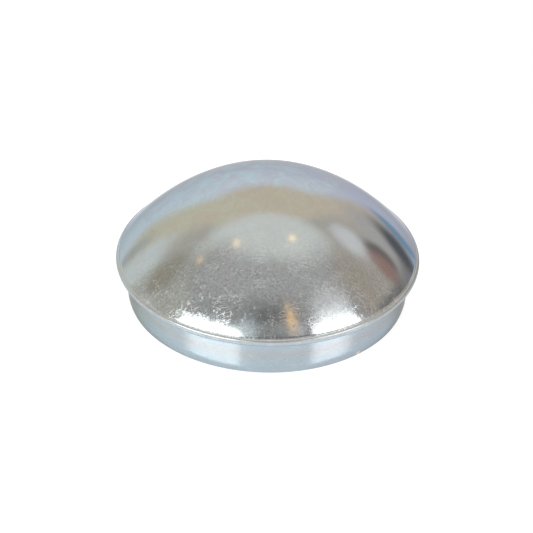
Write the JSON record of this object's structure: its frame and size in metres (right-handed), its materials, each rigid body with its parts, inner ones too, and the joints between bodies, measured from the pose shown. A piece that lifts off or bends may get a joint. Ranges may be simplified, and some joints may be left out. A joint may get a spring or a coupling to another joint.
{
  "type": "hub grease cap",
  "caption": "Domed sheet-steel cap that presses into a wheel hub's bore by its skirt, stops on its folded lip and keeps the bearing grease in.",
  "frame": {"origin": "on the axis, in the plane of the skirt's free end, on which the cap stands", "axes": "+Z along the axis, from the skirt's free end to the crown; X and Y are alike, because the cap is round"},
  "size_m": [0.0822, 0.0822, 0.0346],
  "materials": {
    "zinc_plated_steel": "bright zinc plate with a thin clear-blue passivation, semi-gloss, with fine handling scratches"
  },
  "bodies": {
    "root": {"cap": "zinc_plated_steel"}
  },
  "joints": []
}
